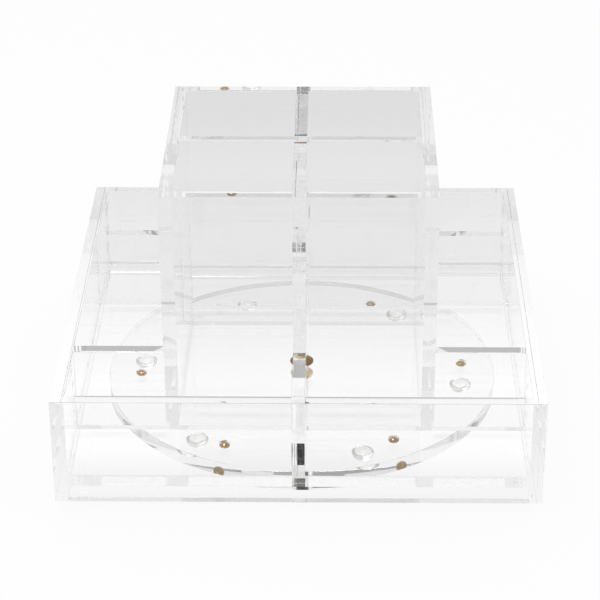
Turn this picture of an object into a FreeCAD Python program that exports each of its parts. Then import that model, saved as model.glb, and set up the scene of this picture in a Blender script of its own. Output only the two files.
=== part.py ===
"""Rotating desk organizer, in millimetres.

A low square box of clear cast acrylic sheet is divided round a tall four-cell tower.
The box turns on six brass balls that sit in pockets of a round acrylic disc, held
together by one brass post and screw through the middle. The disc stands on six clear
bumper feet. The origin is on the table under the middle of the box, +Z is up and -Y is
the front.
"""

import FreeCAD, Part
import math
import os
import Sketcher

# Driving sizes. The values are plain numbers in millimetres or degrees.
SIZES = {
    # Sheet stock and the low box
    "sheet": 5.8,
    "edge_break": 0.3,
    "box_width": 216.0,
    "box_depth": 216.0,
    "wall_height": 51.2,
    "skirt": 6.0,
    # The turning axis and the tower's middle, both a little before the box's own
    "axis_shift": -1.6,
    "tower_shift": -2.7,
    "tower_width": 122.6,
    "tower_depth": 122.6,
    "tower_rise": 116.9,
    "insert_gap": 22.2,
    "insert_lap": 49.5,
    "lap_play": 0.5,
    # Turntable disc and its balls
    "disc_diameter": 185.0,
    "disc_thickness": 6.6,
    "roll_gap": 0.5,
    "ball_circle": 154.4,
    "ball_angle": 3.8,
    "ball_diameter": 5.0,
    "ball_play": 0.1,
    "ball_slack": 0.03,
    # Clear bumper feet under the disc
    "foot_circle": 153.4,
    "foot_angle": 52.1,
    "foot_diameter": 10.2,
    "foot_height": 3.8,
    "foot_rim": 0.6,
    "foot_tip": 4.0,
    # Brass pivot: a flanged barrel from below, a domed screw from above
    "post_diameter": 6.0,
    "post_fit": 0.03,
    "post_play": 0.08,
    "flange_diameter": 10.8,
    "flange_thickness": 1.3,
    "driver_slot": 1.2,
    "driver_depth": 0.7,
    "head_diameter": 11.2,
    "head_rim": 0.6,
    "head_height": 1.8,
    "head_play": 0.15,
    "thread_diameter": 4.0,
    "thread_play": 0.05,
    "thread_length": 8.0,
}
BALL_COUNT = 6
FOOT_COUNT = 6
# The small turned pieces that repeat are made in flat facets: sides round, rings up
FACETS = 24
BALL_RINGS = 12
DOME_RINGS = 4

doc = FreeCAD.newDocument("rotating_desk_organizer")
table = doc.addObject("Spreadsheet::Sheet", "Sizes")
for row, (alias, value) in enumerate(SIZES.items(), start=1):
    table.set(f"A{row}", alias)
    table.set(f"B{row}", str(value))
    table.setAlias(f"B{row}", alias)
doc.recompute()

# Levels and half widths, worked out from the sheet
DISC_BOTTOM = "Sizes.foot_height"
DISC_TOP = f"({DISC_BOTTOM} + Sizes.disc_thickness)"
PLATE_BOTTOM = f"({DISC_TOP} + Sizes.roll_gap)"
PLATE_TOP = f"({PLATE_BOTTOM} + Sizes.sheet)"
WALL_BOTTOM = f"({PLATE_BOTTOM} - Sizes.skirt)"
LOW_RISE = "(Sizes.wall_height - Sizes.skirt - Sizes.sheet)"
INNER_WIDTH = "(Sizes.box_width - 2 * Sizes.sheet)"
INNER_DEPTH = "(Sizes.box_depth - 2 * Sizes.sheet)"
CELL_WIDTH = "(Sizes.tower_width - 2 * Sizes.sheet)"
CELL_DEPTH = "(Sizes.tower_depth - 2 * Sizes.sheet)"
INSERT_BOTTOM = f"({PLATE_TOP} + Sizes.insert_gap)"
INSERT_RISE = "(Sizes.tower_rise - Sizes.insert_gap)"
LAP_WIDTH = "(Sizes.sheet + Sizes.lap_play)"
AXIS_Y = "Sizes.axis_shift"
TOWER_Y = "Sizes.tower_shift"
TOWER_FRONT = f"({TOWER_Y} - Sizes.tower_depth / 2)"
TOWER_BACK = f"({TOWER_Y} + Sizes.tower_depth / 2)"
BOX_FRONT = "(-Sizes.box_depth / 2)"
BOX_BACK = "(Sizes.box_depth / 2)"

nodes = []


def origin_plane(body, role):
    """One of the body's own origin planes."""
    for feature in body.Origin.OriginFeatures:
        if feature.Role == role:
            return feature
    raise RuntimeError(f"{body.Label} has no {role}")


def new_body(name, place):
    """A named body put at (x, y, z), each given as an expression."""
    body = doc.addObject("PartDesign::Body", name)
    body.Label = name
    for axis, expression in zip("xyz", place):
        body.setExpression(f"Placement.Base.{axis}", expression)
    nodes.append(body)
    return body


def new_sketch(body, name, role):
    sketch = body.newObject("Sketcher::SketchObject", name)
    sketch.AttachmentSupport = [(origin_plane(body, role), "")]
    sketch.MapMode = "FlatFace"
    return sketch


def pin_point(sketch, edge, end, x, y):
    """Ties one end of an edge to the sketch origin by two bound distances."""
    for kind, letter, expression in (("DistanceX", "x", x), ("DistanceY", "y", y)):
        value = float(sketch.evalExpression(expression))
        index = sketch.addConstraint(Sketcher.Constraint(kind, -1, 1, edge, end, value))
        sketch.renameConstraint(index, f"{letter}{edge}")
        sketch.setExpression(f"Constraints.{letter}{edge}", expression)


def draw_outline(sketch, points):
    """A closed outline of straight edges through points given as expressions."""
    spots = [FreeCAD.Vector(float(sketch.evalExpression(x)), float(sketch.evalExpression(y)), 0)
             for x, y in points]
    first = sketch.GeometryCount
    count = len(points)
    for index in range(count):
        sketch.addGeometry(Part.LineSegment(spots[index], spots[(index + 1) % count]), False)
    for index in range(count):
        following = first + (index + 1) % count
        sketch.addConstraint(Sketcher.Constraint("Coincident", first + index, 2, following, 1))
    for index, (x, y) in enumerate(points):
        pin_point(sketch, first + index, 1, x, y)


def draw_circle(sketch, diameter, x="0", y="0"):
    """A circle whose diameter and centre are expressions."""
    centre = FreeCAD.Vector(float(sketch.evalExpression(x)), float(sketch.evalExpression(y)), 0)
    size = float(sketch.evalExpression(diameter))
    circle = sketch.addGeometry(Part.Circle(centre, FreeCAD.Vector(0, 0, 1), size / 2), False)
    index = sketch.addConstraint(Sketcher.Constraint("Diameter", circle, size))
    sketch.renameConstraint(index, f"d{circle}")
    sketch.setExpression(f"Constraints.d{circle}", diameter)
    pin_point(sketch, circle, 3, x, y)


def rectangle(width, height):
    """Outline points of an upright rectangle that stands on its middle."""
    return [
        (f"-{width} / 2", "0"),
        (f"{width} / 2", "0"),
        (f"{width} / 2", height),
        (f"-{width} / 2", height),
    ]


def edge_names(shape, wanted):
    return [f"Edge{index}" for index, edge in enumerate(shape.Edges, start=1) if wanted(edge)]


def runs_along_face(edge, thickness_axis):
    """True for an outline edge, false for one that crosses the sheet's thickness."""
    start, end = (vertex.Point for vertex in edge.Vertexes)
    return abs(getattr(start, thickness_axis) - getattr(end, thickness_axis)) < 1e-6


def sheet_panel(name, role, outline, place, eased="top"):
    """A flat acrylic panel, cut to an outline and stood on edge, with its bare edges eased."""
    body = new_body(name, place)
    sketch = new_sketch(body, f"{name}_outline", role)
    draw_outline(sketch, outline)
    pad = body.newObject("PartDesign::Pad", f"{name}_sheet")
    pad.Profile = sketch
    pad.Midplane = True
    pad.setExpression("Length", "Sizes.sheet")
    doc.recompute()
    thickness_axis = "y" if role == "XZ_Plane" else "x"
    top_level = pad.Shape.BoundBox.ZMax

    def bare(edge):
        if not runs_along_face(edge, thickness_axis):
            return False
        if eased == "all round":
            return True
        return all(abs(vertex.Z - top_level) < 1e-6 for vertex in edge.Vertexes)

    chamfer = body.newObject("PartDesign::Chamfer", f"{name}_edges")
    chamfer.Base = (pad, edge_names(pad.Shape, bare))
    chamfer.setExpression("Size", "Sizes.edge_break")
    doc.recompute()
    return body


# Base plate: lies inside the four walls, a little above their lower edges
base_plate = new_body("base_plate", ("0", "0", PLATE_BOTTOM))
plate_sketch = new_sketch(base_plate, "base_plate_outline", "XY_Plane")
draw_outline(plate_sketch, [
    (f"-{INNER_WIDTH} / 2", f"-{INNER_DEPTH} / 2"),
    (f"{INNER_WIDTH} / 2", f"-{INNER_DEPTH} / 2"),
    (f"{INNER_WIDTH} / 2", f"{INNER_DEPTH} / 2"),
    (f"-{INNER_WIDTH} / 2", f"{INNER_DEPTH} / 2"),
])
draw_circle(plate_sketch, "Sizes.post_diameter + 2 * Sizes.post_play", "0", AXIS_Y)
plate_pad = base_plate.newObject("PartDesign::Pad", "base_plate_sheet")
plate_pad.Profile = plate_sketch
plate_pad.setExpression("Length", "Sizes.sheet")

# Low outer walls: the side walls run the full depth, the front and back fit between them
for side, sign in (("left", "-"), ("right", "")):
    sheet_panel(
        f"{side}_outer_wall", "YZ_Plane", rectangle("Sizes.box_depth", "Sizes.wall_height"),
        (f"{sign}(Sizes.box_width - Sizes.sheet) / 2", "0", WALL_BOTTOM), eased="all round")
for name, middle in (("front_wall", f"{BOX_FRONT} + Sizes.sheet / 2"),
                     ("back_wall", f"{BOX_BACK} - Sizes.sheet / 2")):
    sheet_panel(name, "XZ_Plane", rectangle(INNER_WIDTH, "Sizes.wall_height"), ("0", middle, WALL_BOTTOM))

# Tower: two side walls with the front and back panels set between them
for side, sign in (("left", "-"), ("right", "")):
    sheet_panel(
        f"tower_{side}_wall", "YZ_Plane", rectangle("Sizes.tower_depth", "Sizes.tower_rise"),
        (f"{sign}(Sizes.tower_width - Sizes.sheet) / 2", TOWER_Y, PLATE_TOP))
for name, middle in (("tower_front_panel", f"{TOWER_FRONT} + Sizes.sheet / 2"),
                     ("tower_back_panel", f"{TOWER_BACK} - Sizes.sheet / 2")):
    sheet_panel(name, "XZ_Plane", rectangle(CELL_WIDTH, "Sizes.tower_rise"), ("0", middle, PLATE_TOP))

# Cross panel and divider: an insert of two lapped sheets that ends above the pivot.
# The cross panel is slotted from its lower edge and drops over the divider.
sheet_panel(
    "tower_cross_panel", "XZ_Plane",
    [
        (f"-{CELL_WIDTH} / 2", "0"),
        (f"-{LAP_WIDTH} / 2", "0"),
        (f"-{LAP_WIDTH} / 2", "Sizes.insert_lap"),
        (f"{LAP_WIDTH} / 2", "Sizes.insert_lap"),
        (f"{LAP_WIDTH} / 2", "0"),
        (f"{CELL_WIDTH} / 2", "0"),
        (f"{CELL_WIDTH} / 2", INSERT_RISE),
        (f"-{CELL_WIDTH} / 2", INSERT_RISE),
    ],
    ("0", TOWER_Y, INSERT_BOTTOM))

# Divider: slotted from its upper edge down to where the cross panel's slot ends
sheet_panel(
    "tower_divider", "YZ_Plane",
    [
        (f"-{CELL_DEPTH} / 2", "0"),
        (f"{CELL_DEPTH} / 2", "0"),
        (f"{CELL_DEPTH} / 2", INSERT_RISE),
        (f"{LAP_WIDTH} / 2", INSERT_RISE),
        (f"{LAP_WIDTH} / 2", "Sizes.insert_lap"),
        (f"-{LAP_WIDTH} / 2", "Sizes.insert_lap"),
        (f"-{LAP_WIDTH} / 2", INSERT_RISE),
        (f"-{CELL_DEPTH} / 2", INSERT_RISE),
    ],
    ("0", TOWER_Y, INSERT_BOTTOM))

# Low dividers on the centre line, between the outer walls and the tower
FRONT_ROOM = f"({TOWER_FRONT} - {BOX_FRONT} - Sizes.sheet)"
REAR_ROOM = f"({BOX_BACK} - Sizes.sheet - {TOWER_BACK})"
sheet_panel("front_divider", "YZ_Plane", rectangle(FRONT_ROOM, LOW_RISE),
            ("0", f"{TOWER_FRONT} - {FRONT_ROOM} / 2", PLATE_TOP))
sheet_panel("rear_divider", "YZ_Plane", rectangle(REAR_ROOM, LOW_RISE),
            ("0", f"{TOWER_BACK} + {REAR_ROOM} / 2", PLATE_TOP))

# Low partitions beside the tower, in the planes of its front and back panels
WING_WIDTH = "((Sizes.box_width - Sizes.tower_width) / 2 - Sizes.sheet)"
PARTITION_ROWS = {"front": f"{TOWER_FRONT} + Sizes.sheet / 2", "rear": f"{TOWER_BACK} - Sizes.sheet / 2"}
for side, sign in (("left", "-"), ("right", "")):
    middle_x = f"{sign}(Sizes.tower_width + {WING_WIDTH}) / 2"
    for end, middle_y in PARTITION_ROWS.items():
        sheet_panel(f"{side}_{end}_partition", "XZ_Plane", rectangle(WING_WIDTH, LOW_RISE),
                    (middle_x, middle_y, PLATE_TOP))

# Turntable disc: a hole for the post and a ring of blind ball pockets in its upper face
disc = new_body("turntable_disc", ("0", AXIS_Y, DISC_BOTTOM))
disc_sketch = new_sketch(disc, "disc_outline", "XY_Plane")
draw_circle(disc_sketch, "Sizes.disc_diameter")
draw_circle(disc_sketch, "Sizes.post_diameter + 2 * Sizes.post_fit")
disc_pad = disc.newObject("PartDesign::Pad", "disc_sheet")
disc_pad.Profile = disc_sketch
disc_pad.setExpression("Length", "Sizes.disc_thickness")
pocket_sketch = new_sketch(disc, "ball_pocket_outline", "XY_Plane")
pocket_sketch.setExpression("AttachmentOffset.Base.z", "Sizes.disc_thickness")
draw_circle(pocket_sketch, "Sizes.ball_diameter + 2 * Sizes.ball_play",
            "Sizes.ball_circle / 2 * cos(Sizes.ball_angle)",
            "Sizes.ball_circle / 2 * sin(Sizes.ball_angle)")
pocket = disc.newObject("PartDesign::Pocket", "ball_pocket")
pocket.Profile = pocket_sketch
pocket.setExpression("Length", "Sizes.ball_diameter + 2 * Sizes.ball_slack - Sizes.roll_gap")
doc.recompute()
pocket_ring = disc.newObject("PartDesign::PolarPattern", "ball_pocket_ring")
pocket_ring.Originals = [pocket]
pocket_ring.Axis = (disc_sketch, ["N_Axis"])
pocket_ring.Angle = 360
pocket_ring.Occurrences = BALL_COUNT
disc.Tip = pocket_ring



def faceted_turning(name, profile):
    """A round form in flat facets, through rings of (radius, level) from the bottom up."""
    turns = [2 * math.pi * side / FACETS for side in range(FACETS)]
    rings = [[FreeCAD.Vector(radius * math.cos(turn), radius * math.sin(turn), level) for turn in turns]
             for radius, level in profile]
    outlines = [rings[0], rings[-1]]
    for lower, upper in zip(rings, rings[1:]):
        for side in range(FACETS):
            following = (side + 1) % FACETS
            outlines.append([lower[side], lower[following], upper[following], upper[side]])
    shell = Part.makeShell([Part.Face(Part.makePolygon(outline + outline[:1])) for outline in outlines])
    shell.sewShape()
    solid = Part.Solid(shell)
    if solid.Volume < 0:
        solid.reverse()
    turning = doc.addObject("Part::Feature", name)
    turning.Label = name
    turning.Shape = solid
    nodes.append(turning)
    return turning


def put_on_circle(piece, diameter, angle, level):
    """Puts a piece on a ring round the turning axis."""
    piece.setExpression("Placement.Base.x", f"{diameter} / 2 * cos({angle})")
    piece.setExpression("Placement.Base.y", f"{AXIS_Y} + {diameter} / 2 * sin({angle})")
    piece.setExpression("Placement.Base.z", level)


# Glide balls: each sits in its pocket and carries the base plate
ball_radius = table.get("ball_diameter") / 2
ball_profile = []
for ring in range(BALL_RINGS):
    latitude = math.pi * ((ring + 0.5) / BALL_RINGS - 0.5)
    ball_profile.append((ball_radius * math.cos(latitude), ball_radius * math.sin(latitude)))
for number in range(1, BALL_COUNT + 1):
    ball = faceted_turning(f"glide_ball_{number}", ball_profile)
    put_on_circle(ball, "Sizes.ball_circle", f"(Sizes.ball_angle + {(number - 1) * 360 / BALL_COUNT})",
                  f"{PLATE_BOTTOM} - Sizes.ball_slack - Sizes.ball_diameter / 2")

# Bumper feet: clear domes stuck under the disc, slightly flattened where they stand
tip_radius = table.get("foot_tip") / 2
dome_out = table.get("foot_diameter") / 2 - tip_radius
dome_rise = table.get("foot_height") - table.get("foot_rim")
foot_profile = [(tip_radius + dome_out, 0)]
for ring in range(DOME_RINGS + 1):
    swing = math.pi / 2 * ring / DOME_RINGS
    foot_profile.append((tip_radius + dome_out * math.cos(swing),
                         table.get("foot_rim") + dome_rise * math.sin(swing)))
for number in range(1, FOOT_COUNT + 1):
    foot = faceted_turning(f"bumper_foot_{number}", foot_profile)
    foot.Placement.Rotation = FreeCAD.Rotation(FreeCAD.Vector(1, 0, 0), 180)
    put_on_circle(foot, "Sizes.foot_circle", f"(Sizes.foot_angle + {(number - 1) * 360 / FOOT_COUNT})",
                  DISC_BOTTOM)

# Pivot post: a barrel with a flange under the disc, bored from above for the screw
POST_RISE = "(Sizes.disc_thickness + Sizes.roll_gap + Sizes.sheet + Sizes.head_play)"
BORE_RADIUS = "(Sizes.thread_diameter / 2 + Sizes.thread_play)"
BORE_FLOOR = f"({POST_RISE} - Sizes.thread_length - 2 * Sizes.thread_play)"
post = new_body("pivot_post", ("0", AXIS_Y, DISC_BOTTOM))
post_sketch = new_sketch(post, "pivot_post_profile", "XZ_Plane")
draw_outline(post_sketch, [
    ("0", "-Sizes.flange_thickness"),
    ("Sizes.flange_diameter / 2", "-Sizes.flange_thickness"),
    ("Sizes.flange_diameter / 2", "0"),
    ("Sizes.post_diameter / 2", "0"),
    ("Sizes.post_diameter / 2", POST_RISE),
    (BORE_RADIUS, POST_RISE),
    (BORE_RADIUS, BORE_FLOOR),
    ("0", BORE_FLOOR),
])
post_turned = post.newObject("PartDesign::Revolution", "pivot_post_turned")
post_turned.Profile = post_sketch
post_turned.ReferenceAxis = (post_sketch, ["V_Axis"])
post_turned.Angle = 360
doc.recompute()
slot_sketch = new_sketch(post, "driver_slot_outline", "XY_Plane")
slot_sketch.setExpression("AttachmentOffset.Base.z", "-Sizes.flange_thickness")
draw_outline(slot_sketch, [
    ("-Sizes.flange_diameter", "-Sizes.driver_slot / 2"),
    ("Sizes.flange_diameter", "-Sizes.driver_slot / 2"),
    ("Sizes.flange_diameter", "Sizes.driver_slot / 2"),
    ("-Sizes.flange_diameter", "Sizes.driver_slot / 2"),
])
slot_cut = post.newObject("PartDesign::Pocket", "driver_slot")
slot_cut.Profile = slot_sketch
slot_cut.Reversed = True
slot_cut.setExpression("Length", "Sizes.driver_depth")

# Pivot screw: a low domed head over the base plate and a shank down the post's bore
DOME_DROP = "(Sizes.head_height - Sizes.head_rim)"
DOME_RADIUS = f"((Sizes.head_diameter^2 / 4 + {DOME_DROP}^2) / (2 * {DOME_DROP}))"
head_blank = doc.addObject("Part::Cylinder", "pivot_screw_blank")
head_blank.setExpression("Radius", "Sizes.head_diameter / 2")
head_blank.setExpression("Height", "Sizes.head_height")
head_dome = doc.addObject("Part::Sphere", "pivot_screw_dome")
head_dome.setExpression("Radius", DOME_RADIUS)
head_dome.setExpression("Placement.Base.z", f"Sizes.head_height - {DOME_RADIUS}")
head = doc.addObject("Part::Common", "pivot_screw_head")
head.Base = head_blank
head.Tool = head_dome
shank = doc.addObject("Part::Cylinder", "pivot_screw_shank")
shank.setExpression("Radius", "Sizes.thread_diameter / 2")
shank.setExpression("Height", "Sizes.thread_length + Sizes.head_rim / 2")
shank.setExpression("Placement.Base.z", "-Sizes.thread_length")
screw = doc.addObject("Part::Fuse", "pivot_screw")
screw.Label = "pivot_screw"
screw.Base = head
screw.Tool = shank
screw.setExpression("Placement.Base.y", AXIS_Y)
screw.setExpression("Placement.Base.z", f"{PLATE_TOP} + Sizes.head_play")
nodes.append(screw)

doc.recompute()
for item in doc.Objects:
    if "Invalid" in item.State or "Error" in item.State:
        raise RuntimeError(f"{item.Label} failed: {item.State}")
for node in nodes:
    if node.Shape.isNull() or not node.Shape.isValid() or len(node.Shape.Solids) != 1:
        raise RuntimeError(f"{node.Label} is not one valid solid")

os.makedirs("parts", exist_ok=True)
for node in nodes:
    node.Shape.exportStep(f"parts/{node.Label}.step")
    box = node.Shape.BoundBox
    print(f"{node.Label:24s} volume {node.Shape.Volume:10.1f}  z {box.ZMin:7.2f} to {box.ZMax:7.2f}")
print(len(nodes), "pieces written")
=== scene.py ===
# %% [markdown]
# # A clear desk organizer that turns on six brass balls
#
# The real object is made of flat sheets of cast acrylic, 5.8 mm thick, cut to size and welded
# edge to face with solvent. It turns on a ring of balls above a round disc. This lesson dresses
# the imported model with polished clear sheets, a disc, domed feet and brass parts, then puts
# them on a pale table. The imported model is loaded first, because every piece takes its place
# and size from it.

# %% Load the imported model
import bmesh
import bpy
import math
from mathutils import Matrix, Vector


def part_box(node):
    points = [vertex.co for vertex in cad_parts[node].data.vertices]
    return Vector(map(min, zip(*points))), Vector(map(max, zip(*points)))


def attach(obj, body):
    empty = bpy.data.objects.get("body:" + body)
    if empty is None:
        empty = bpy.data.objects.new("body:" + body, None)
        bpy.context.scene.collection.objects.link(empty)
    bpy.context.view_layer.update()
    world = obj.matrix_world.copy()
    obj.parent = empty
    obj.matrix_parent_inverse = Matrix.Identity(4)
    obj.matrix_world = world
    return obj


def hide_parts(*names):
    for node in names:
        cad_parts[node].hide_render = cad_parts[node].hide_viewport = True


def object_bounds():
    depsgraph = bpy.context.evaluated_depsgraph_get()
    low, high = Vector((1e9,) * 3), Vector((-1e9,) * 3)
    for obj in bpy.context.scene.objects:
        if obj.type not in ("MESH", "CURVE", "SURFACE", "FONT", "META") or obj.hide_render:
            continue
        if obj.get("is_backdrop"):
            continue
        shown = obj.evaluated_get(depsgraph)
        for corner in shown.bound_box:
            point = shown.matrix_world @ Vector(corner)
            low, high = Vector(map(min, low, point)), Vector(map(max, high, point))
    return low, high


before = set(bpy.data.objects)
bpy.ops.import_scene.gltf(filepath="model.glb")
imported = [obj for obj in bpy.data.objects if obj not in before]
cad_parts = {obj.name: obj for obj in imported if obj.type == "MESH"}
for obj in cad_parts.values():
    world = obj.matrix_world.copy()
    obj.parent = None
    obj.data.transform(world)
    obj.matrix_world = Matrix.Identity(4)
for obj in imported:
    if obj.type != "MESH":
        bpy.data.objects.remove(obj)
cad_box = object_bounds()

print(len(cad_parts), "pieces in the packed model")

# %% [markdown]
# ## Sizes
#
# Blender works in metres, so one named millimetre keeps the numbers readable. Two points closer
# than NEAR count as level with each other. The sheets are known by their names in the packed
# model. Each one is a box, and its corners say which way it stands, what it touches and where
# it has to be split. The cross panel and the divider lap by a slot each. The divider leans on
# the left side of the cross panel's slot, so that slot's play shows as a gap on its right.

# %% Name the sheets and their slots
MM = 0.001
SHEET = 5.8 * MM
NEAR = 0.01 * MM
SHEET_NAMES = [
    "base_plate",
    "front_wall",
    "back_wall",
    "left_outer_wall",
    "right_outer_wall",
    "tower_left_wall",
    "tower_right_wall",
    "tower_front_panel",
    "tower_back_panel",
    "tower_cross_panel",
    "tower_divider",
    "front_divider",
    "rear_divider",
    "left_front_partition",
    "left_rear_partition",
    "right_front_partition",
    "right_rear_partition",
]
corners = {name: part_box(name) for name in SHEET_NAMES}


def middle_of(name):
    """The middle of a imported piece."""
    low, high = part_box(name)
    return (low + high) / 2


TOWER_Y = middle_of("tower_cross_panel").y
disc_low, disc_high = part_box("turntable_disc")
AXIS_Y = (disc_low.y + disc_high.y) / 2
LAP_PLAY = 0.5 * MM
LAP_SNUG = 0.03 * MM
lap_half = (SHEET + LAP_PLAY) / 2
LAP_RISE = 49.5 * MM
lap_level = corners["tower_cross_panel"][0].z + LAP_RISE
print("turning axis at y =", round(AXIS_Y / MM, 2), "mm, laps meet at", round(lap_level / MM, 2), "mm")


def cut_box(sheet, x=None, y=None, z=None):
    """The box that a slot takes out of a sheet, right through it in the ways left open."""
    low, high = (corner.copy() for corner in corners[sheet])
    for axis, span in enumerate((x, y, z)):
        if span:
            low[axis], high[axis] = span
    return low, high


cross_bottom = corners["tower_cross_panel"][0].z
divider_top = corners["tower_divider"][1].z
cross_slot = (-SHEET / 2 - LAP_SNUG, SHEET / 2 + LAP_PLAY - LAP_SNUG)
divider_slot = (TOWER_Y - lap_half, TOWER_Y + lap_half)
SLOTS = {
    "tower_cross_panel": [
        cut_box("tower_cross_panel", x=cross_slot, z=(cross_bottom, lap_level + LAP_SNUG)),
    ],
    "tower_divider": [
        cut_box("tower_divider", y=divider_slot, z=(lap_level, divider_top)),
    ],
}

# %% [markdown]
# ## A way to write materials
#
# A material is a small tree of nodes. One function adds a node, sets it and links what feeds
# it. Colours are written as the hex values that a screen shows and turned to linear light,
# which is what the renderer adds up.

# %% Colour and node helpers
def linear(hex_value, alpha=1.0):
    """A linear colour from a screen colour such as C8A050."""
    parts = [int(hex_value[start:start + 2], 16) / 255 for start in (0, 2, 4)]
    bent = [part / 12.92 if part <= 0.04045 else ((part + 0.055) / 1.055) ** 2.4 for part in parts]
    return (*bent, alpha)


def add_node(tree, kind, settings=None, inputs=None):
    """Adds a node. Settings are its own choices, inputs are plain values or what feeds it."""
    node = tree.nodes.new(kind)
    for name, value in (settings or {}).items():
        setattr(node, name, value)
    for name, value in (inputs or {}).items():
        if isinstance(value, bpy.types.NodeSocket):
            tree.links.new(value, node.inputs[name])
        else:
            node.inputs[name].default_value = value
    return node


def new_material(name):
    """An empty material and its tree."""
    material = bpy.data.materials.new(name)
    material.use_nodes = True
    material.node_tree.nodes.clear()
    return material, material.node_tree


def show(tree, shader):
    """Sends a shader to the surface."""
    add_node(tree, "ShaderNodeOutputMaterial", inputs={"Surface": shader})


# %% [markdown]
# ## Clear cast acrylic
#
# Cast acrylic is almost as clear as air and bends light by 1.49. Cast between glass plates, its
# faces are mirror flat apart from a slow ripple of a few thousandths of a millimetre, and its
# edges here are polished. The material is one glass-like shader. Lamps shine through it by a
# Light Path mix, because a sheet like this throws hardly any shadow.

# %% Acrylic material
ACRYLIC_IOR = 1.49
RIPPLE_SIZE = 45 * MM
RIPPLE_DEPTH = 0.004 * MM


def clear_material(name, tint, roughness, ripple_size, ripple_depth):
    """Clear plastic that lamps shine through, with a slow ripple in its surface."""
    material, tree = new_material(name)
    place = add_node(tree, "ShaderNodeTexCoord")
    waves = add_node(tree, "ShaderNodeTexNoise", inputs={
        "Vector": place.outputs["Object"],
        "Scale": 1 / ripple_size,
        "Detail": 1.0,
    })
    ripple = add_node(tree, "ShaderNodeBump", inputs={
        "Height": waves.outputs["Fac"],
        "Distance": ripple_depth,
        "Strength": 1.0,
    })
    body = add_node(tree, "ShaderNodeBsdfPrincipled", inputs={
        "Base Color": linear(tint),
        "Roughness": roughness,
        "IOR": ACRYLIC_IOR,
        "Transmission Weight": 1.0,
        "Normal": ripple.outputs["Normal"],
    })
    let_through = add_node(tree, "ShaderNodeBsdfTransparent", inputs={"Color": linear("F4F6F5")})
    path = add_node(tree, "ShaderNodeLightPath")
    mix = add_node(tree, "ShaderNodeMixShader", inputs={"Fac": path.outputs["Is Shadow Ray"]})
    tree.links.new(body.outputs["BSDF"], mix.inputs[1])
    tree.links.new(let_through.outputs["BSDF"], mix.inputs[2])
    show(tree, mix.outputs["Shader"])
    return material


acrylic = clear_material("clear cast acrylic", "FEFEFE", 0.0, RIPPLE_SIZE, RIPPLE_DEPTH)
print("made", acrylic.name)

# %% [markdown]
# ## The welded joints
#
# Solvent softens both faces of a joint and they become one piece of plastic, so light goes
# straight on through it. In the mesh a weld is where two sheets touch face to face. Those faces
# stay, to keep each sheet closed, but take a see-through material that doesn't bend light. A
# few specks stand for the tiny bubbles that stay in such a joint.

# %% Weld material
weld, weld_tree = new_material("solvent weld")
weld_place = add_node(weld_tree, "ShaderNodeTexCoord")
BUBBLE_SPACING = 2.5 * MM
bubbles = add_node(weld_tree, "ShaderNodeTexNoise", inputs={
    "Vector": weld_place.outputs["Object"],
    "Scale": 1 / BUBBLE_SPACING,
    "Detail": 2.0,
})
bubble_tone = add_node(weld_tree, "ShaderNodeValToRGB", inputs={"Fac": bubbles.outputs["Fac"]})
bubble_tone.color_ramp.elements[0].position = 0.35
bubble_tone.color_ramp.elements[0].color = linear("FDFDFD")
bubble_tone.color_ramp.elements[1].position = 0.5
bubble_tone.color_ramp.elements[1].color = (1, 1, 1, 1)
joint = add_node(weld_tree, "ShaderNodeBsdfTransparent", inputs={"Color": bubble_tone.outputs["Color"]})
show(weld_tree, joint.outputs["BSDF"])
print("made", weld.name)

# %% [markdown]
# ## Working on a mesh as by hand
#
# The steps below start from a flat shape and work on it in edit mode. An operator acts on all
# that is selected, so everything is deselected first, and faces or edges are then picked in
# code by their place. A finished piece has its place in its mesh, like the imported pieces.

# %% Selecting and splitting
def start_clean():
    """Nothing selected, in object mode."""
    if bpy.context.mode != "OBJECT":
        bpy.ops.object.mode_set(mode="OBJECT")
    bpy.ops.object.select_all(action="DESELECT")


def take(piece):
    """Makes one piece the only selected and active one."""
    start_clean()
    piece.select_set(True)
    bpy.context.view_layer.objects.active = piece


def settle(piece, name):
    """Names a new piece and moves its place, turn and scale into its mesh."""
    take(piece)
    bpy.ops.object.transform_apply(location=True, rotation=True, scale=True)
    piece.name = name
    piece.data.name = name
    return piece


def pick(piece, kind, wanted):
    """In edit mode, selects just the faces, edges or vertices that wanted() is true for."""
    shape = bmesh.from_edit_mesh(piece.data)
    bpy.ops.mesh.select_all(action="DESELECT")
    found = [part for part in getattr(shape, kind) if wanted(part)]
    for part in found:
        part.select = True
    shape.select_flush(True)
    bmesh.update_edit_mesh(piece.data)
    return len(found)


def split_at(axis, value):
    """In edit mode, cuts every face along one plane across x, y or z."""
    bpy.ops.mesh.select_all(action="SELECT")
    spot = [0.0, 0.0, 0.0]
    spot[axis] = value
    way = [0.0, 0.0, 0.0]
    way[axis] = 1.0
    bpy.ops.mesh.bisect(plane_co=spot, plane_no=way)


def within(point, box, slack=0.0):
    """True if the point lies in the box, grown by slack."""
    low, high = box
    return all(low[axis] - slack < point[axis] < high[axis] + slack for axis in range(3))


# %% [markdown]
# ## Which faces are welded
#
# A face is part of a weld if a point just outside it lies inside another sheet. The slots where
# the cross panel and the divider lap are not part of their sheets, so they are left out. The
# other sheets' planes tell where a face has to be split, so that it is either welded all over
# or bare all over.

# %% Neighbours
PROBE = 0.05 * MM


def in_sheet(point, name):
    """True if the point is in the sheet's plastic."""
    return within(point, corners[name]) and not any(within(point, slot) for slot in SLOTS.get(name, ()))


def welded(point, normal, own_name):
    """True if a face with this middle and normal touches another sheet."""
    outside = point + normal * PROBE
    return any(in_sheet(outside, name) for name in SHEET_NAMES if name != own_name)


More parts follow.
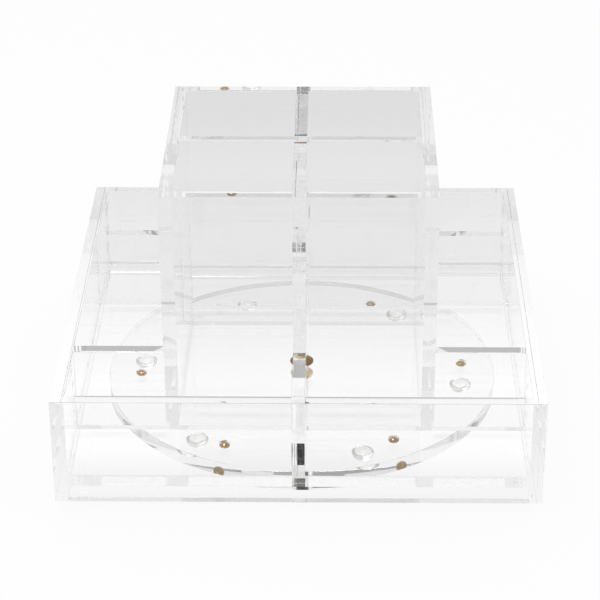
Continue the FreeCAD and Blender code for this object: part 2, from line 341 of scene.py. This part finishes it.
def split_planes(name, thin):
    """Where the sheet's neighbours and its slots start and end, across its two long ways."""
    low, high = corners[name]
    touching = []
    for other in SHEET_NAMES:
        other_low, other_high = corners[other]
        near = all(other_low[a] < high[a] + PROBE and other_high[a] > low[a] - PROBE for a in range(3))
        if other != name and near:
            touching.append((other_low, other_high))
    planes = set()
    for box in touching + SLOTS.get(name, []):
        for corner in box:
            for axis in range(3):
                inside = low[axis] + PROBE < corner[axis] < high[axis] - PROBE
                if axis != thin and inside:
                    planes.add((axis, round(corner[axis], 6)))
    return sorted(planes)


# %% [markdown]
# ## Cutting a sheet
#
# In the workshop a sheet is sawn to its outline, its slots are cut and its bare edges are eased
# and polished. Here a plane is split and the slots are deleted from it, then it is extruded to
# its thickness. A narrow bevel eases each edge between two bare faces. That tiny round is worth
# having: it is what catches a thin line of light along a real edge.

# %% Build one sheet
EDGE_ROUND = 0.12 * MM
sheet_pieces = {}


def cut_sheet(name):
    """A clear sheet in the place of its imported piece."""
    low, high = corners[name]
    size = high - low
    thin = min(range(3), key=lambda axis: size[axis])
    centre = (low + high) / 2
    centre[thin] = low[thin]
    turns = {0: (0, math.pi / 2, 0), 1: (math.pi / 2, 0, 0), 2: (0, 0, 0)}
    spans = {0: (size.z, size.y), 1: (size.x, size.z), 2: (size.x, size.y)}
    start_clean()
    bpy.ops.mesh.primitive_plane_add(size=1, location=centre, rotation=turns[thin])
    piece = bpy.context.object
    piece.scale = (*spans[thin], 1)
    settle(piece, f"clear_{name}")
    bpy.ops.object.mode_set(mode="EDIT")
    for axis, value in split_planes(name, thin):
        split_at(axis, value)
    for slot in SLOTS.get(name, ()):
        if pick(piece, "faces", lambda face: within(face.calc_center_median(), slot, PROBE)):
            bpy.ops.mesh.delete(type="FACE")
    bpy.ops.mesh.select_all(action="SELECT")
    push = [0.0, 0.0, 0.0]
    push[thin] = size[thin]
    bpy.ops.mesh.extrude_region_move(TRANSFORM_OT_translate={"value": push})
    bpy.ops.mesh.select_all(action="SELECT")
    bpy.ops.mesh.remove_doubles(threshold=0.001 * MM)
    bpy.ops.mesh.normals_make_consistent(inside=False)
    bpy.ops.object.mode_set(mode="OBJECT")
    sheet_pieces[name] = piece
    return piece


for sheet_name in SHEET_NAMES:
    cut_sheet(sheet_name)
print(len(sheet_pieces), "sheets cut")

# %% [markdown]
# ## The hole for the post
#
# The base plate turns round the brass post, so it has a round hole in its middle. A cutter is
# turned up from a circle and taken out of the plate with a Boolean, as a drill would.

# %% Turned shapes
def turn_up(name, rings, centre, sides=64):
    """A round solid through rings of (radius, level), each ring extruded from the last."""
    start_clean()
    radius, level = rings[0]
    bpy.ops.mesh.primitive_circle_add(
        vertices=sides, radius=radius, fill_type="NGON", location=(centre[0], centre[1], level))
    piece = settle(bpy.context.object, name)
    bpy.ops.object.mode_set(mode="EDIT")
    bpy.ops.mesh.select_all(action="SELECT")
    for next_radius, next_level in rings[1:]:
        bpy.ops.mesh.extrude_region_move(
            TRANSFORM_OT_translate={"value": (0, 0, next_level - level)})
        ratio = next_radius / radius
        bpy.ops.transform.resize(value=(ratio, ratio, 1), center_override=(centre[0], centre[1], 0))
        radius, level = next_radius, next_level
    bpy.ops.mesh.select_all(action="SELECT")
    bpy.ops.mesh.normals_make_consistent(inside=False)
    bpy.ops.object.mode_set(mode="OBJECT")
    return piece


def cut_away(piece, cutter):
    """Takes a cutter out of a piece and throws the cutter away."""
    take(piece)
    cut = piece.modifiers.new("cut", "BOOLEAN")
    cut.object = cutter
    cut.operation = "DIFFERENCE"
    cut.solver = "EXACT"
    bpy.ops.object.modifier_apply(modifier=cut.name)
    bpy.data.objects.remove(cutter)


plate_low, plate_high = corners["base_plate"]
POST_HOLE = 6.16 * MM / 2
SPARE = 1 * MM
drill = turn_up("drill", [(POST_HOLE, plate_low.z - SPARE), (POST_HOLE, plate_high.z + SPARE)], (0, AXIS_Y))
cut_away(sheet_pieces["base_plate"], drill)
print("base plate drilled:", len(sheet_pieces["base_plate"].data.polygons), "faces")

# %% [markdown]
# ## Easing edges and marking welds
#
# Only edges between two bare faces are eased. The free side of the cross panel's slot gets a
# wider chamfer first, as a file would leave it. Each bevel is clamped so that it never runs
# into its neighbour. Then each face that touches another sheet gets the weld material.

# %% Ease the edges
CORNER_TURN = math.radians(60)
SLOT_EASE = 0.4 * MM


def slot_corner(edge):
    """True for the upright edges on the free side of the cross panel's slot."""
    ends = [vertex.co for vertex in edge.verts]
    return all(abs(end.x - cross_slot[1]) < PROBE for end in ends) and abs(ends[0].z - ends[1].z) > SHEET


def finish_sheet(name, piece):
    """Bevels a sheet's bare edges and gives its faces their materials."""
    take(piece)
    bpy.ops.object.mode_set(mode="EDIT")

    def bare_edge(edge):
        if len(edge.link_faces) != 2 or edge.calc_face_angle(0) < CORNER_TURN:
            return False
        return not any(welded(face.calc_center_median(), face.normal, name) for face in edge.link_faces)

    if name == "tower_cross_panel":
        pick(piece, "edges", slot_corner)
        bpy.ops.mesh.bevel(offset=SLOT_EASE, segments=1, affect="EDGES", clamp_overlap=True)
    eased = pick(piece, "edges", bare_edge)
    if eased:
        bpy.ops.mesh.bevel(offset=EDGE_ROUND, segments=2, affect="EDGES", clamp_overlap=True)
    bpy.ops.object.mode_set(mode="OBJECT")
    piece.data.materials.append(acrylic)
    piece.data.materials.append(weld)
    joints = 0
    for face in piece.data.polygons:
        if welded(Vector(face.center), Vector(face.normal), name):
            face.material_index = 1
            joints += 1
    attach(piece, "organizer")
    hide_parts(name)
    return eased, joints


for sheet_name, sheet_piece in sheet_pieces.items():
    eased_count, joint_count = finish_sheet(sheet_name, sheet_piece)
    print(sheet_name, "edges eased:", eased_count, "welded faces:", joint_count)

# %% [markdown]
# ## The disc
#
# The turntable disc is a circle sawn from slightly thicker sheet, 6.6 mm, with a hole for the
# post and six blind pockets drilled for the balls. A little clear grease fills each pocket round
# its ball. It bends light almost as the plastic does, so the pocket's own walls can't be seen
# and the ball shows whole: the pocket's faces take the see-through material of the welds.
#
# The feet are stuck under the disc with clear glue, so each leaves a round patch where light
# goes straight on. A patch is made by cutting a shallow recess and pushing its floor back
# flush. One drill of each kind is made and copied to the other places, and all of them are
# joined and taken out of the disc at once.

# %% Disc blank
disc_radius = (disc_high.x - disc_low.x) / 2
disc_place = (0, AXIS_Y)
rim_steps = [math.radians(angle) for angle in (90, 60, 30, 0)]
lower_rim = [
    (disc_radius - EDGE_ROUND * (1 - math.cos(swing)), disc_low.z + EDGE_ROUND * (1 - math.sin(swing)))
    for swing in rim_steps
]
upper_rim = [(radius, disc_high.z - (level - disc_low.z)) for radius, level in reversed(lower_rim)]
disc = turn_up("clear_turntable_disc", lower_rim + upper_rim, disc_place, sides=192)
DISC_HOLE = 6.06 * MM / 2
cut_away(disc, turn_up(
    "disc_drill", [(DISC_HOLE, disc_low.z - SPARE), (DISC_HOLE, disc_high.z + SPARE)], disc_place))
print("disc blank:", round(2 * disc_radius / MM, 1), "mm across")

# %% Ball pockets and foot patches
BALL_COUNT = 6
FOOT_COUNT = 6
BALL_RADIUS = 5 * MM / 2
POCKET_RADIUS = 2.6 * MM
POCKET_SLACK = 0.03 * MM
PATCH_RECESS = 0.5 * MM
FACING = 0.9
FINE_SMOOTH = math.radians(12)
SMOOTH = math.radians(35)
balls = [f"glide_ball_{number}" for number in range(1, BALL_COUNT + 1)]
feet = [f"bumper_foot_{number}" for number in range(1, FOOT_COUNT + 1)]


def copy_to(first, names):
    """Copies of a piece made at the first name's place, one at each further name's place."""
    copies = [first]
    for name in names[1:]:
        twin = first.copy()
        twin.data = first.data.copy()
        bpy.context.collection.objects.link(twin)
        twin.location = middle_of(name) - middle_of(names[0])
        copies.append(settle(twin, f"{first.name}_{name}"))
    return copies


def nearest(point, places):
    """How far a point is from the nearest of some places, seen from above."""
    return min((point.xy - place).length for place in places)


foot_low, foot_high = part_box(feet[0])
foot_radius = (foot_high.x - foot_low.x) / 2
spot = middle_of(balls[0])
pocket_floor = spot.z - BALL_RADIUS - POCKET_SLACK
pocket_rings = [(POCKET_RADIUS, pocket_floor), (POCKET_RADIUS, disc_high.z + SPARE)]
cutters = copy_to(turn_up("pocket_drill", pocket_rings, (spot.x, spot.y), sides=24), balls)
ball_places = [middle_of(ball_name).xy for ball_name in balls]
foot_places = [middle_of(foot_name).xy for foot_name in feet]
spot = middle_of(feet[0])
patch_level = disc_low.z + PATCH_RECESS
patch_rings = [(foot_radius, disc_low.z - SPARE), (foot_radius, patch_level)]
cutters += copy_to(turn_up("patch_drill", patch_rings, (spot.x, spot.y), sides=48), feet)
take(cutters[0])
for cutter in cutters[1:]:
    cutter.select_set(True)
bpy.ops.object.join()
cut_away(disc, cutters[0])
print(len(cutters), "places drilled, disc faces:", len(disc.data.polygons))

# %% Push the patches flush and mark them
take(disc)
bpy.ops.object.mode_set(mode="EDIT")
floors = pick(disc, "verts", lambda vertex: abs(vertex.co.z - patch_level) < NEAR)
bpy.ops.transform.translate(value=(0, 0, -PATCH_RECESS))
bpy.ops.mesh.select_all(action="SELECT")
bpy.ops.mesh.remove_doubles(threshold=0.002 * MM)
bpy.ops.mesh.dissolve_degenerate(threshold=0.001 * MM)
bpy.ops.mesh.select_all(action="SELECT")
bpy.ops.mesh.normals_make_consistent(inside=False)
bpy.ops.object.mode_set(mode="OBJECT")
disc.data.materials.append(acrylic)
disc.data.materials.append(weld)
patches = 0
for face in disc.data.polygons:
    under_foot = nearest(face.center, foot_places) < foot_radius
    if under_foot and face.normal.z < -FACING and abs(face.center.z - disc_low.z) < NEAR:
        face.material_index = 1
        patches += 1
    inside = disc_low.z + PATCH_RECESS < face.center.z < disc_high.z - NEAR
    if inside and nearest(face.center, ball_places) < POCKET_RADIUS + NEAR:
        face.material_index = 1
bpy.ops.object.shade_smooth_by_angle(angle=FINE_SMOOTH)
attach(disc, "turntable")
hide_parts("turntable_disc")
print(floors, "patch points,", patches, "patches, disc faces:", len(disc.data.polygons))

# %% [markdown]
# ## Brass
#
# The balls, the post and the screw are brass. Turned brass has fine rings from the tool and
# dulls a little in patches with handling, which breaks up its shine. The screw's head is given a
# brass darker than the metal, as painted shade. The post's flange is given a pale cream brass, as
# a painted highlight. The post's thread is drawn in a dark grey metal. A rolled ball has no rings
# at all. The rings are too fine to see at this distance, so they are drawn 0.25 mm apart.

# %% Brass materials
TOOL_RINGS = 0.25 * MM
WAVES_PER_UNIT = 20
DULL_SPOT = 1.6 * MM


def brass_material(name, bright, dull, roughness, ring_depth):
    """Polished brass with a patchy dullness and fine turned rings round the z axis."""
    material, tree = new_material(name)
    place = add_node(tree, "ShaderNodeTexCoord")
    centred = add_node(tree, "ShaderNodeMapping", inputs={
        "Vector": place.outputs["Object"],
        "Location": (0, -AXIS_Y, 0),
    })
    patches = add_node(tree, "ShaderNodeTexNoise", inputs={
        "Vector": place.outputs["Object"],
        "Scale": 1 / DULL_SPOT,
        "Detail": 3.0,
    })
    tone = add_node(tree, "ShaderNodeValToRGB", inputs={"Fac": patches.outputs["Fac"]})
    tone.color_ramp.elements[0].position = 0.3
    tone.color_ramp.elements[0].color = linear(dull)
    tone.color_ramp.elements[1].position = 0.62
    tone.color_ramp.elements[1].color = linear(bright)
    shine = add_node(tree, "ShaderNodeMapRange", inputs={
        "Value": patches.outputs["Fac"],
        "From Min": 0.3,
        "From Max": 0.7,
        "To Min": roughness * 1.5,
        "To Max": roughness * 0.7,
    })
    rings = add_node(
        tree, "ShaderNodeTexWave",
        settings={"wave_type": "RINGS", "rings_direction": "Z"},
        inputs={
            "Vector": centred.outputs["Vector"],
            "Scale": 1 / (WAVES_PER_UNIT * TOOL_RINGS),
            "Distortion": 0.4,
        })
    grooves = add_node(tree, "ShaderNodeBump", inputs={
        "Height": rings.outputs["Fac"],
        "Distance": ring_depth,
        "Strength": 0.5,
    })
    body = add_node(tree, "ShaderNodeBsdfPrincipled", inputs={
        "Base Color": tone.outputs["Color"],
        "Metallic": 1.0,
        "Roughness": shine.outputs["Result"],
        "Normal": grooves.outputs["Normal"],
    })
    show(tree, body.outputs["BSDF"])
    return material


# Painted shade: the screw's brass is darker than the metal, to stand for the shade it shows.
shade_darkened_brass = brass_material("brass darkened as painted shade", "93692A", "6E4A18", 0.16, 0.006 * MM)
# Painted highlight: the flange's brass is pale cream, to stand for the light it catches.
highlight_pale_brass = brass_material("brass paled as painted highlight", "EBDDB4", "D2BE8A", 0.2, 0.006 * MM)
ball_brass = brass_material("polished ball brass", "BC8F40", "8C6626", 0.06, 0.0)
thread_brass = brass_material("dark grey thread", "7C7A78", "2E2D2C", 0.09, 0.0)
print("made", shade_darkened_brass.name, highlight_pale_brass.name, ball_brass.name, thread_brass.name)

# %% [markdown]
# ## The balls
#
# A rolled ball has no pole or seam. A cube divided evenly and pulled out to a sphere gives
# just that, with even faces all over. One ball is made, and the others are copies with their
# own mesh, each moved to its pocket.

# %% Make and copy the balls
start_clean()
bpy.ops.mesh.primitive_cube_add(size=BALL_RADIUS, location=(0, 0, 0))
first_ball = settle(bpy.context.object, "brass_ball_start")
bpy.ops.object.mode_set(mode="EDIT")
bpy.ops.mesh.select_all(action="SELECT")
bpy.ops.mesh.subdivide(number_cuts=11)
bpy.ops.transform.tosphere(value=1.0)
bpy.ops.object.mode_set(mode="OBJECT")
reach = max(vertex.co.length for vertex in first_ball.data.vertices)
first_ball.scale = [BALL_RADIUS / reach] * 3
settle(first_ball, "brass_ball_start")
bpy.ops.object.shade_smooth()
first_ball.data.materials.append(ball_brass)
for number, ball_name in enumerate(balls, start=1):
    ball = first_ball.copy()
    ball.data = first_ball.data.copy()
    bpy.context.collection.objects.link(ball)
    ball.location = middle_of(ball_name)
    settle(ball, f"brass_{ball_name}")
    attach(ball, f"ball_{number}")
    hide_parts(ball_name)
bpy.data.objects.remove(first_ball)
print(len(balls), "balls,", round(2 * BALL_RADIUS / MM, 2), "mm across")

# %% [markdown]
# ## The bumper feet
#
# The feet are clear rubber domes of the stick-on kind, poured so that they roll over from a thin
# rim in one low curve to a small flat. One is extruded ring by ring from the disc's underside
# down, and the others are copies of it. The rubber is a little cloudy, so it is rougher than
# the sheet. The face that is glued to the disc takes the material of the welds.

# %% Foot material and shape
foot_rubber = clear_material("clear polyurethane rubber", "F2F2F0", 0.25, 3 * MM, 0.01 * MM)
FOOT_TIP = 1.6 * MM / 2
FOOT_RIM = 0.15 * MM
FOOT_STEPS = 10
foot_fall = foot_high.z - FOOT_RIM - foot_low.z
foot_slope = foot_radius - FOOT_TIP
foot_rings = [(FOOT_TIP + foot_slope, foot_high.z)]
for step in range(FOOT_STEPS + 1):
    swing = math.pi / 2 * step / FOOT_STEPS
    foot_rings.append((
        FOOT_TIP + foot_slope * math.cos(swing),
        foot_high.z - FOOT_RIM - foot_fall * math.sin(swing),
    ))
spot = middle_of(feet[0])
first_foot = turn_up("clear_foot", foot_rings, (spot.x, spot.y), sides=48)
for foot, foot_name in zip(copy_to(first_foot, feet), feet):
    foot.name = f"clear_{foot_name}"
    foot.data.name = foot.name
    take(foot)
    foot.data.materials.append(foot_rubber)
    foot.data.materials.append(weld)
    for face in foot.data.polygons:
        if face.normal.z > FACING and abs(face.center.z - foot_high.z) < NEAR:
            face.material_index = 1
    bpy.ops.object.shade_smooth_by_angle(angle=SMOOTH)
    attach(foot, "turntable")
    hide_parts(foot_name)
print(len(feet), "feet under the disc")

# %% [markdown]
# ## The pivot
#
# The organizer turns round a brass barrel bolt: a flanged post comes up through disc and plate,
# and a low domed screw holds it from above. Both are turned ring by ring from their packed
# sizes. The dome is a shallow part of a sphere.

# %% Screw
screw_low, screw_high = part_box("pivot_screw")
HEAD_RADIUS = 11.2 * MM / 2
HEAD_RIM = 0.6 * MM
HEAD_HEIGHT = 1.8 * MM
RIM_EASE = 0.15 * MM
SHANK_EASE = 0.3 * MM
SHANK_RADIUS = 4 * MM / 2
head_bottom = screw_high.z - HEAD_HEIGHT
dome_drop = HEAD_HEIGHT - HEAD_RIM
dome_radius = (HEAD_RADIUS ** 2 + dome_drop ** 2) / (2 * dome_drop)
screw_rings = [
    (SHANK_RADIUS - SHANK_EASE, screw_low.z),
    (SHANK_RADIUS, screw_low.z + SHANK_EASE),
    (SHANK_RADIUS, head_bottom),
    (HEAD_RADIUS - RIM_EASE, head_bottom),
    (HEAD_RADIUS, head_bottom + RIM_EASE),
]
HEAD_STEPS = 14
edge_swing = math.asin(HEAD_RADIUS / dome_radius)
for step in range(HEAD_STEPS):
    swing = edge_swing * (1 - step / HEAD_STEPS)
    screw_rings.append((
        dome_radius * math.sin(swing), screw_high.z - dome_radius * (1 - math.cos(swing))))
screw = turn_up("brass_pivot_screw", screw_rings, disc_place, sides=72)
take(screw)
# The screw takes the brass darkened as painted shade.
screw.data.materials.append(shade_darkened_brass)
bpy.ops.object.shade_smooth_by_angle(angle=SMOOTH)
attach(screw, "turntable")
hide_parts("pivot_screw")
print("screw from", round(screw_low.z / MM, 2), "to", round(screw_high.z / MM, 2), "mm")

# %% [markdown]
# The post's barrel has a coarse rolled thread, 1 mm from ridge to ridge. Seen through the
# sheets, its ridges break up the barrel's reflection. Here they are separate rings, which look
# the same from outside as a thread that climbs. The barrel is bored for the screw's shank.

# %% Threaded post
post_low, post_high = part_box("pivot_post")
FLANGE_RADIUS = 10.8 * MM / 2
FLANGE_SLACK = 0.04 * MM
FLANGE_EASE = 0.2 * MM
POST_RADIUS = 6 * MM / 2
THREAD_PITCH = 1 * MM
THREAD_DEPTH = 0.35 * MM
THREAD_SHAPE = ((0.1, 0), (0.45, 1), (0.6, 1), (0.95, 0))
flange_top = disc_low.z - FLANGE_SLACK
post_rings = [
    (FLANGE_RADIUS - FLANGE_EASE, post_low.z),
    (FLANGE_RADIUS, post_low.z + FLANGE_EASE),
    (FLANGE_RADIUS, flange_top - RIM_EASE),
    (FLANGE_RADIUS - RIM_EASE, flange_top),
    (POST_RADIUS - THREAD_DEPTH, flange_top),
]
turns = int((post_high.z - flange_top) / THREAD_PITCH)
for turn in range(turns):
    for share, height in THREAD_SHAPE:
        post_rings.append((
            POST_RADIUS - THREAD_DEPTH * (1 - height), flange_top + (turn + share) * THREAD_PITCH))
post_rings.append((POST_RADIUS - THREAD_DEPTH, post_high.z))
post = turn_up("brass_pivot_post", post_rings, disc_place, sides=72)
BORE_RADIUS = SHANK_RADIUS + 0.08 * MM
BORE_SPARE = 0.5 * MM
bore_rings = [(BORE_RADIUS, screw_low.z - BORE_SPARE), (BORE_RADIUS, post_high.z + SPARE)]
cut_away(post, turn_up("bore_drill", bore_rings, disc_place))
take(post)
# The flange takes the pale brass of the painted highlight, and the thread takes the dark grey metal.
post.data.materials.append(highlight_pale_brass)
post.data.materials.append(thread_brass)
for face in post.data.polygons:
    if face.center.z > flange_top + NEAR:
        face.material_index = 1
bpy.ops.object.shade_smooth_by_angle(angle=FINE_SMOOTH)
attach(post, "turntable")
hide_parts("pivot_post")
print("post with", turns, "thread rings, faces:", len(post.data.polygons))

# %% [markdown]
# ## The table, the light and the world
#
# Clear plastic has no look of its own: it shows what stands round it. The floor is white where
# the camera sees it. Rays that come through the plastic or glance off it see the floor as slightly
# see-through, with a painted glow on it, painted light that is brightest near the object and fades
# away from it, added to the world behind it. The room in front of the table is darker. The painted
# glow follows the distance from front to back, and the room's light follows the height of the ray
# in degrees, with one list for the back half of the room and one for the front.

# %% A ramp of levels
def levels(tree, value, low, high, stops):
    """A grey that follows stops of (place, level) as the value goes from low to high."""
    share = add_node(tree, "ShaderNodeMapRange", inputs={
        "Value": value, "From Min": low, "From Max": high, "To Min": 0.0, "To Max": 1.0})
    ramp = add_node(tree, "ShaderNodeValToRGB", inputs={"Fac": share.outputs["Result"]})
    ramp.color_ramp.interpolation = "EASE"
    while len(ramp.color_ramp.elements) < len(stops):
        ramp.color_ramp.elements.new(0.5)
    for element, (place, level) in zip(ramp.color_ramp.elements, stops):
        element.position = (place - low) / (high - low)
        element.color = (level, level, level, 1)
    return ramp.outputs["Color"]


# %% Floor
FLOOR_HALF = 4.0
GLOW_START = -0.2
GLOW_END = 0.6
PAINTED_GLOW = [
    (-0.14, 0.5), (-0.09, 0.43), (-0.055, 0.56), (0.0, 0.57), (0.05, 0.53),
    (0.1, 0.48), (0.16, 0.41), (0.24, 0.36), (0.34, 0.3), (0.55, 0.24)]
SURE_WHITE = 0.93
start_clean()
bpy.ops.mesh.primitive_plane_add(size=2 * FLOOR_HALF, location=(0, 0, 0))
floor = settle(bpy.context.object, "studio_floor")
floor_paper, floor_tree = new_material("floor with painted glow")
floor_place = add_node(floor_tree, "ShaderNodeTexCoord")
floor_spot = add_node(floor_tree, "ShaderNodeSeparateXYZ", inputs={"Vector": floor_place.outputs["Object"]})
# Painted glow: levels of light painted on the floor for rays through the plastic, brightest near the
# object.
glow = levels(floor_tree, floor_spot.outputs["Y"], GLOW_START, GLOW_END, PAINTED_GLOW)
painted_floor_glow = add_node(floor_tree, "ShaderNodeEmission", inputs={"Color": glow, "Strength": 1.0})
see_through = add_node(floor_tree, "ShaderNodeBsdfTransparent")
half_seen = add_node(floor_tree, "ShaderNodeAddShader")
floor_tree.links.new(painted_floor_glow.outputs["Emission"], half_seen.inputs[0])
floor_tree.links.new(see_through.outputs["BSDF"], half_seen.inputs[1])
lit = add_node(floor_tree, "ShaderNodeBsdfDiffuse", inputs={"Color": linear("F2F2F2")})
white = add_node(floor_tree, "ShaderNodeEmission", inputs={"Color": linear("FFFFFF"), "Strength": 1.0})
lit_white = add_node(floor_tree, "ShaderNodeMixShader", inputs={"Fac": SURE_WHITE})
floor_tree.links.new(lit.outputs["BSDF"], lit_white.inputs[1])
floor_tree.links.new(white.outputs["Emission"], lit_white.inputs[2])
floor_path = add_node(floor_tree, "ShaderNodeLightPath")
object_ray = add_node(floor_tree, "ShaderNodeMath", settings={"operation": "MAXIMUM"}, inputs={
    0: floor_path.outputs["Is Transmission Ray"], 1: floor_path.outputs["Is Glossy Ray"]})
through = add_node(floor_tree, "ShaderNodeMixShader", inputs={"Fac": object_ray.outputs["Value"]})
floor_tree.links.new(lit_white.outputs["Shader"], through.inputs[1])
floor_tree.links.new(half_seen.outputs["Shader"], through.inputs[2])
show(floor_tree, through.outputs["Shader"])
floor.data.materials.append(floor_paper)
floor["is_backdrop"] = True
print("floor", 2 * FLOOR_HALF, "m wide")

# %% World
BACK = [
    (-70, 0.37), (-45, 0.42), (-34, 0.54), (-31, 0.52), (-29, 0.45), (-20, 0.44),
    (-6, 0.46), (8, 0.95), (25, 0.87), (50, 0.95), (80, 0.6)]
FRONT = [
    (-70, 0.37), (-50, 0.1), (-33, 0.03), (-29.5, 0.08), (-27, 0.3), (-25.5, 0.36),
    (-22, 0.22), (-16, 0.55), (3, 0.5), (14, 0.14), (55, 0.14), (80, 0.5)]
FRONT_START = 0.1
FRONT_FULL = -0.5
world = bpy.data.worlds.new("studio room")
bpy.context.scene.world = world
world.use_nodes = True
room = world.node_tree
room.nodes.clear()
room_place = add_node(room, "ShaderNodeTexCoord")
way = add_node(room, "ShaderNodeSeparateXYZ", inputs={"Vector": room_place.outputs["Generated"]})
rise = add_node(
    room, "ShaderNodeMath", settings={"operation": "ARCSINE"}, inputs={0: way.outputs["Z"]})
height = add_node(
    room, "ShaderNodeMath", settings={"operation": "DEGREES"}, inputs={0: rise.outputs["Value"]})
back_light = levels(room, height.outputs["Value"], -90, 90, BACK)
front_light = levels(room, height.outputs["Value"], -90, 90, FRONT)
flat_way = add_node(room, "ShaderNodeCombineXYZ", inputs={
    "X": way.outputs["X"], "Y": way.outputs["Y"], "Z": 0.0})
flat_unit = add_node(
    room, "ShaderNodeVectorMath", settings={"operation": "NORMALIZE"},
    inputs={0: flat_way.outputs["Vector"]})
flat_parts = add_node(room, "ShaderNodeSeparateXYZ", inputs={"Vector": flat_unit.outputs["Vector"]})
front_side = add_node(
    room, "ShaderNodeMapRange", settings={"interpolation_type": "SMOOTHSTEP"},
    inputs={
        "Value": flat_parts.outputs["Y"],
        "From Min": FRONT_START,
        "From Max": FRONT_FULL,
        "To Min": 0.0,
        "To Max": 1.0,
    })
room_level = add_node(room, "ShaderNodeMix", settings={"data_type": "RGBA"})
room.links.new(front_side.outputs["Result"], room_level.inputs["Factor"])
room.links.new(back_light, room_level.inputs[6])
room.links.new(front_light, room_level.inputs[7])
room_view = add_node(room, "ShaderNodeBackground", inputs={"Color": room_level.outputs[2], "Strength": 1.0})
plain_view = add_node(room, "ShaderNodeBackground", inputs={"Color": linear("FFFFFF"), "Strength": 1.0})
room_path = add_node(room, "ShaderNodeLightPath")
choose = add_node(room, "ShaderNodeMixShader", inputs={"Fac": room_path.outputs["Is Camera Ray"]})
room.links.new(room_view.outputs["Background"], choose.inputs[1])
room.links.new(plain_view.outputs["Background"], choose.inputs[2])
add_node(room, "ShaderNodeOutputWorld", inputs={"Surface": choose.outputs["Shader"]})
print("world set")

# %% Lamps
LAMP_PLACE = (-0.35, -0.25, 1.3)
OBJECT_MIDDLE = Vector((0, 0, 0.05))
LAMP_SIZE = 0.5
LAMP_WATTS = 9.0
start_clean()
bpy.ops.object.light_add(type="AREA", location=LAMP_PLACE)
lamp = bpy.context.object
lamp.name = "overhead_softbox"
lamp.data.shape = "SQUARE"
lamp.data.size = LAMP_SIZE
lamp.data.energy = LAMP_WATTS
lamp.rotation_euler = (OBJECT_MIDDLE - lamp.location).to_track_quat("-Z", "Y").to_euler()
print("lamp over the table")

# %% [markdown]
# ## The camera
#
# The camera stands in front and looks down on the table. Its place, its turn and its long lens
# come from lining up the corners of the sheets with the photograph.

# %% Camera
LENS = 131.97
SENSOR = 36.0
PITCH = math.radians(28.52)
YAW = math.radians(-1.05)
ROLL = math.radians(-0.30)
CAMERA_PLACE = Vector((0.01611, -0.92164, 0.54926))
forward = Vector((math.sin(YAW) * math.cos(PITCH), math.cos(YAW) * math.cos(PITCH), -math.sin(PITCH)))
level_right = Vector((math.cos(YAW), -math.sin(YAW), 0))
level_up = level_right.cross(forward)
right = level_right * math.cos(ROLL) + level_up * math.sin(ROLL)
up = level_up * math.cos(ROLL) - level_right * math.sin(ROLL)
camera_data = bpy.data.cameras.new("studio_camera")
camera_data.lens = LENS
camera_data.sensor_width = SENSOR
camera = bpy.data.objects.new("studio_camera", camera_data)
bpy.context.collection.objects.link(camera)
axes = Matrix((right, up, -forward)).transposed()
camera.matrix_world = Matrix.Translation(CAMERA_PLACE) @ axes.to_4x4()
bpy.context.scene.camera = camera
print("camera", round((CAMERA_PLACE - OBJECT_MIDDLE).length, 3), "m from the object")

# %% [markdown]
# ## Render settings
#
# A ray in a clear sheet bounces between its faces dozens of times before it gets out. With too
# few bounces it would end black, so the limits go up. Light thrown by the plastic onto the
# table is left out, because the shadow mix in the acrylic already stands for it.

# %% Bounces and colours
scene = bpy.context.scene
scene.view_settings.view_transform = "Standard"
BOUNCES = 64
scene.cycles.max_bounces = BOUNCES
scene.cycles.glossy_bounces = BOUNCES
scene.cycles.transmission_bounces = BOUNCES
scene.cycles.transparent_max_bounces = 2 * BOUNCES
scene.cycles.caustics_reflective = False
scene.cycles.caustics_refractive = False

# %% Sizes and finish
visual_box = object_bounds()
sizes = {
    "cad": [list(corner) for corner in cad_box],
    "visual": [list(corner) for corner in visual_box],
}
for name, box in sizes.items():
    print(name, [[round(value / MM, 3) for value in corner] for corner in box])
